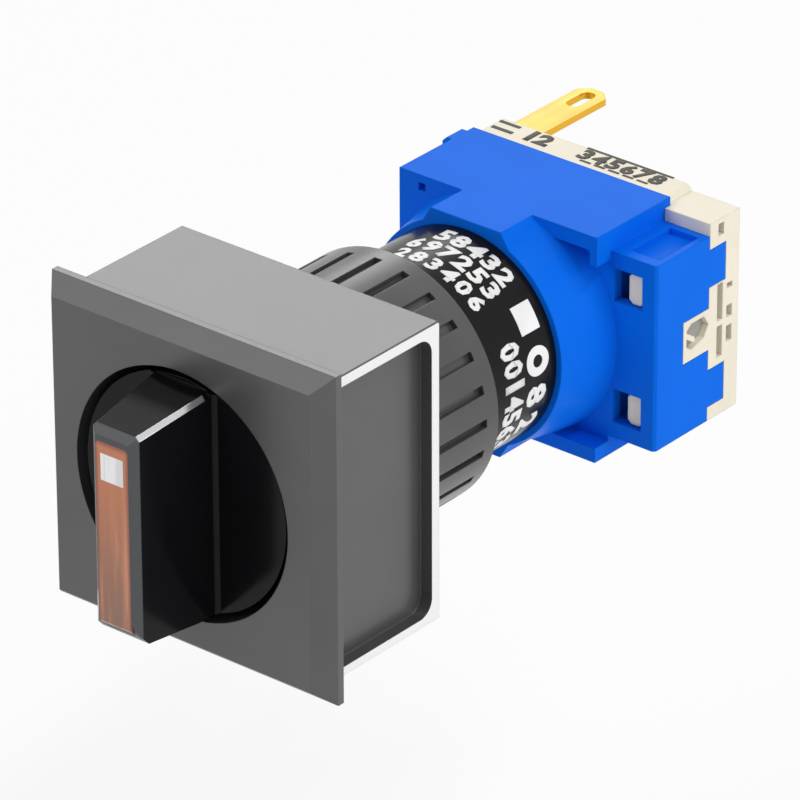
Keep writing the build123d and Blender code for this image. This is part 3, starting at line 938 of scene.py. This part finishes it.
@dataclass
class MountingBarrel:
    """The barrel with its thread and print, the locking ring, and the rotor inside.

    Args:
        palette: The finishes.
        pitch_mm: Pitch of the panel thread.
        depth_mm: Depth of its 60 degree groove.
        clear_mm: How far the groove's cutter stands outside the thread.
        thread_from_mm: Y at which the groove starts.
        turns: Turns of the groove.
        steps: Steps in one turn of the groove.
        band_r_mm: Radius of the printed band.
        ink_mm: Thickness of the ink.
        lift_mm: How far the ink starts above the band.
        nodes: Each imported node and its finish.
    """

    palette: Palette
    pitch_mm: float = 1.0
    depth_mm: float = 0.62
    clear_mm: float = 0.2
    thread_from_mm: float = 0.3
    turns: int = 8
    steps: int = 64
    band_r_mm: float = 7.8
    ink_mm: float = 0.03
    lift_mm: float = 0.006
    nodes: dict[str, str] = field(default_factory=lambda: {
        "threaded_barrel": "band", "locking_ring": "ring", "rotor_shaft": "nylon",
        "detent_cam": "nylon", "detent_rollers": "steel", "detent_springs": "steel"})

    def build(self) -> None:
        """Dresses the nodes, cuts the thread and prints the band."""
        self.palette.dress(self.nodes)
        self._thread()
        self._print()

    def _cutter(self, outer: float) -> bpy.types.Object:
        """The solid of a V-shaped groove, wound round the barrel.

        Args:
            outer: The thread's outside radius in metres.

        Returns:
            The wound solid.
        """
        # an even triangle is one and a half times as high as its outer circle's radius
        radius = (self.depth_mm + self.clear_mm) * MM / 1.5
        bpy.ops.mesh.primitive_circle_add(
            vertices=3, radius=radius, fill_type="NOTHING", rotation=(0.0, 0.0, math.pi / 2),
            location=(outer + self.clear_mm * MM - radius / 2, self.thread_from_mm * MM, 0.0))
        item = Bench.settle(bpy.context.object)
        Bench.modify(item, "SCREW", axis="Y", angle=2 * math.pi, iterations=self.turns,
                     screw_offset=self.pitch_mm * MM, steps=self.steps,
                     render_steps=self.steps)
        Bench.edit(item)
        Bench.merge()
        bpy.ops.mesh.fill_holes(sides=3)
        bpy.ops.mesh.normals_make_consistent(inside=False)
        Bench.clear()
        return item

    def _thread(self) -> None:
        """Cuts the thread into a copy of the barrel, which stands for the plain one."""
        _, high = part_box("threaded_barrel")
        item = Bench.twin("threaded_barrel", "barrel_moulding")
        Bench.carve(item, self._cutter(high.x))
        Bench.smooth(item)
        self.palette.fit(item, "band", "black_case")
        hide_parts("threaded_barrel")

    @staticmethod
    def marks() -> list[Mark]:
        """Marks of the band: across is down the arc from the side, up is along the axis.

        Returns:
            A square, a ring, two large digits, a row of digits and three short rows.
        """
        ring, block, digit = MarkKind.RING, MarkKind.BLOCK, MarkKind.DIGIT
        marks = [Mark(block, -4.3, 14.4, 2.05, 1.9), Mark(ring, -1.2, 14.4, 2.1, 2.3),
                 Mark(digit, 1.35, 14.3, 1.7, 2.1, "8"), Mark(digit, 3.75, 14.2, 1.6, 2.0, "2")]
        for i, text in enumerate("0014563"):
            marks.append(Mark(digit, -2.8 + 1.25 * i, 11.9, 1.15, 2.0, text))
        rows = ((-7.35, 14.75, 1.6, "23485"), (-7.0, 12.95, 1.6, "352796"),
                (-6.75, 11.2, 1.45, "604382"))
        for start, up, tall, texts in rows:
            for i, text in enumerate(texts):
                marks.append(Mark(digit, start - 1.35 * i, up, 1.3, tall, text))
        return marks

    def _print(self) -> None:
        """Draws the marks flat, bends them round the band and gives the ink its thickness."""
        sheet = Bench.join("band_print", [mark.draw() for mark in self.marks()])
        sheet.rotation_euler = (0.0, math.pi / 2, 0.0)
        Bench.settle(sheet)
        heights = [vert.co.z for vert in sheet.data.vertices]
        radius = self.band_r_mm * MM
        Bench.modify(sheet, "SIMPLE_DEFORM", deform_method="BEND", deform_axis="Y",
                     angle=-(max(heights) - min(heights)) / radius)
        sheet.location = (radius + self.lift_mm * MM, 0.0, 0.0)
        Bench.settle(sheet)
        Bench.modify(sheet, "SOLIDIFY", thickness=self.ink_mm * MM, offset=1.0)
        self.palette.fit(sheet, "white_ink", "white_tile")


@dataclass
class ContactBlock:
    """The blue housing, the cream base with its print, the slides and the terminals.

    Args:
        palette: The finishes.
        blade_mm: How far a blade's end stands behind the base's rear face.
        forward_mm: How far the print is moved forward from the middle of the base's top.
        ink_mm: Thickness of the ink.
        lift_mm: How far the ink starts above the base.
        nodes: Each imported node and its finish.
    """

    palette: Palette
    blade_mm: float = 5.7
    forward_mm: float = 0.2
    ink_mm: float = 0.03
    lift_mm: float = 0.004
    nodes: dict[str, str] = field(default_factory=lambda: {
        "block_housing": "blue", "terminal_base": "cream", "upper_slider": "nylon",
        "lower_slider": "nylon", "upper_bridge": "brass", "lower_bridge": "brass",
        **{f"{row}_{column}_terminal": "gold" for row in ("upper", "lower")
           for column in ("left", "middle", "right")}})

    def build(self) -> None:
        """Dresses the nodes and prints the base."""
        self.palette.dress(self.nodes)
        self._print()

    @staticmethod
    def marks() -> list[Mark]:
        """Marks on the base's top: across is X, up is Y, both from the print's middle.

        Returns:
            Two bars, two digits, a row of digits, and bars above and below that row.
        """
        block, digit = MarkKind.BLOCK, MarkKind.DIGIT
        marks = [Mark(block, -7.0, 0.5, 1.8, 0.3), Mark(block, -6.9, -0.5, 1.8, 0.34),
                 Mark(digit, -4.7, 0.0, 0.9, 1.6, "1"), Mark(digit, -3.6, 0.0, 1.3, 1.6, "2"),
                 Mark(block, 3.1, 0.95, 7.4, 0.2)]
        for i, text in enumerate("345678"):
            marks.append(Mark(digit, 1.22 * i, 0.05, 1.12, 1.45, text))
        for i in range(5):
            marks.append(Mark(block, 0.6 + 1.22 * i, -0.85, 0.9, 0.2))
        return marks

    def _print(self) -> None:
        """Draws the marks on the base's top."""
        _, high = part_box("terminal_base")
        _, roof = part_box("block_housing")
        _, blade_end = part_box("upper_middle_terminal")
        middle = (roof.y + blade_end.y - self.blade_mm * MM) / 2
        sheet = Bench.join("base_print", [mark.draw() for mark in self.marks()])
        sheet.location = (0.0, middle - self.forward_mm * MM, high.z + self.lift_mm * MM)
        Bench.settle(sheet)
        Bench.modify(sheet, "SOLIDIFY", thickness=self.ink_mm * MM, offset=1.0)
        self.palette.fit(sheet, "dark_ink", "black_ring")


@dataclass
class LampUnit:
    """The lamp in its socket and the two longer supply blades.

    Args:
        palette: The finishes.
        nodes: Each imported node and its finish.
    """

    palette: Palette
    nodes: dict[str, str] = field(default_factory=lambda: {
        "lamp_socket": "socket", "lamp_body": "socket", "lamp_dome": "clear",
        "lamp_pins": "brass", "lamp_terminal_upper": "gold", "lamp_terminal_lower": "gold"})

    def build(self) -> None:
        """Dresses the lamp's nodes."""
        self.palette.dress(self.nodes)


# ---------------------------------------------------------------- studio
@dataclass(frozen=True)
class SoftBox:
    """A rectangular light that looks at the switch.

    Args:
        name: The light's name.
        place: Where it stands, in metres.
        size: Width and height in metres.
        power: Watts.
    """

    name: str
    place: Point
    size: Span
    power: float


@dataclass
class Studio:
    """Pale floor, even world light, soft boxes and the camera.

    Args:
        target_mm: Point that the camera and the lights look at.
        azimuth: Degrees that the camera stands to the right of the knob's axis.
        elevation: Degrees that it looks down.
        roll: Degrees that it leans.
        distance: Metres from the camera to the point.
        focal_mm: Focal length of its lens.
        clip: Nearest and farthest that it sees, in metres.
        ambient: Strength of the world's light.
        floor_size: Side of the floor in metres.
        floor_gap: Metres between the part's lowest point and the floor.
        floor_white: How much of the floor's shadow the white of the background covers.
        boxes: The soft boxes.
    """

    target_mm: Point = (0.3, 9.0, -2.0)
    azimuth: float = 39.5
    elevation: float = 28.0
    roll: float = -0.2
    distance: float = 0.492
    focal_mm: float = 331.6
    clip: Span = (0.01, 20.0)
    ambient: float = 0.45
    floor_size: float = 6.0
    floor_gap: float = 0.03
    floor_white: float = 0.72
    boxes: tuple[SoftBox, ...] = (
        SoftBox("top_back", (-0.34, 0.40, 0.29), (0.46, 0.16), 0.8),
        SoftBox("key_left", (-0.28, -0.42, 0.42), (0.4, 0.4), 1.2),
        SoftBox("right_fill", (0.55, 0.10, 0.22), (0.35, 0.45), 1.3),
        SoftBox("edge_strip", (0.22, 0.08, 0.42), (0.3, 0.04), 0.6))

    def floor(self) -> None:
        """Floor that keeps the shadow and shows nearly white."""
        bpy.ops.mesh.primitive_plane_add(size=self.floor_size)
        plane = bpy.context.object
        plane.name = "floor"
        plane.location = (0.0, 0.0, CAD_BOX[0][2] - self.floor_gap)
        Bench.settle(plane)
        made = Surface("pale_floor")
        made.set(roughness=0.9, base_color=made.blend(made.noise(0.003, 2.0), (0.88, 0.88, 0.88),
                                                      (0.92, 0.92, 0.92)))
        white = made.out("ShaderNodeEmission", inputs={"Strength": 1.0})
        mix = made.out("ShaderNodeMixShader", inputs={
            0: made.background_rays() * self.floor_white,
            1: Wire(made, made.shader.outputs[0]), 2: white})
        out = next(n for n in made.tree.nodes if n.type == "OUTPUT_MATERIAL")
        made.feed(out.inputs["Surface"], mix)
        plane.data.materials.append(made.material)

    def world(self) -> None:
        """Even grey light, shown as white where it is a background."""
        world = bpy.data.worlds.new("studio")
        bpy.context.scene.world = world
        world.use_nodes = True
        sheet = Sheet(world.node_tree)
        ground = next(n for n in sheet.tree.nodes if n.type == "BACKGROUND")
        sheet.feed(ground.inputs["Color"], (1.0, 1.0, 1.0))
        sheet.feed(ground.inputs["Strength"],
                   sheet.background_rays() * (1.0 - self.ambient) + self.ambient)

    def lights(self) -> None:
        """Soft boxes round the switch."""
        target = Vector(self.target_mm) * MM
        for box in self.boxes:
            data = bpy.data.lights.new(box.name, "AREA")
            data.shape, data.energy = "RECTANGLE", box.power
            data.size, data.size_y = box.size
            item = bpy.data.objects.new(box.name, data)
            item.location = box.place
            item.rotation_euler = (target - Vector(box.place)).to_track_quat("-Z", "Y").to_euler()
            bpy.context.scene.collection.objects.link(item)
            LOG.info("light %s, %.1f W", box.name, box.power)

    def camera(self) -> None:
        """Long lens from the knob's right, looking down at the switch."""
        a, e = math.radians(self.azimuth), math.radians(self.elevation)
        back = Vector((math.sin(a) * math.cos(e), -math.cos(a) * math.cos(e), math.sin(e)))
        data = bpy.data.cameras.new("camera")
        data.lens = self.focal_mm
        data.clip_start, data.clip_end = self.clip
        item = bpy.data.objects.new("camera", data)
        item.location = Vector(self.target_mm) * MM + back * self.distance
        turn = (-back).to_track_quat("-Z", "Y").to_matrix()
        item.rotation_euler = (turn @ Matrix.Rotation(math.radians(self.roll), 3, "Z")).to_euler()
        bpy.context.scene.collection.objects.link(item)
        bpy.context.scene.camera = item

    def build(self) -> None:
        """Sets up the whole studio."""
        bpy.context.scene.view_settings.view_transform = "Standard"
        self.floor()
        self.world()
        self.lights()
        self.camera()


def main() -> None:
    """Builds every sub-assembly and the studio."""
    palette = Palette()
    for part in (FrontOperator(palette), MountingBarrel(palette), ContactBlock(palette),
                 LampUnit(palette), Studio()):
        part.build()
        LOG.info("built %s", type(part).__name__)


if __name__ == "__main__":
    main()
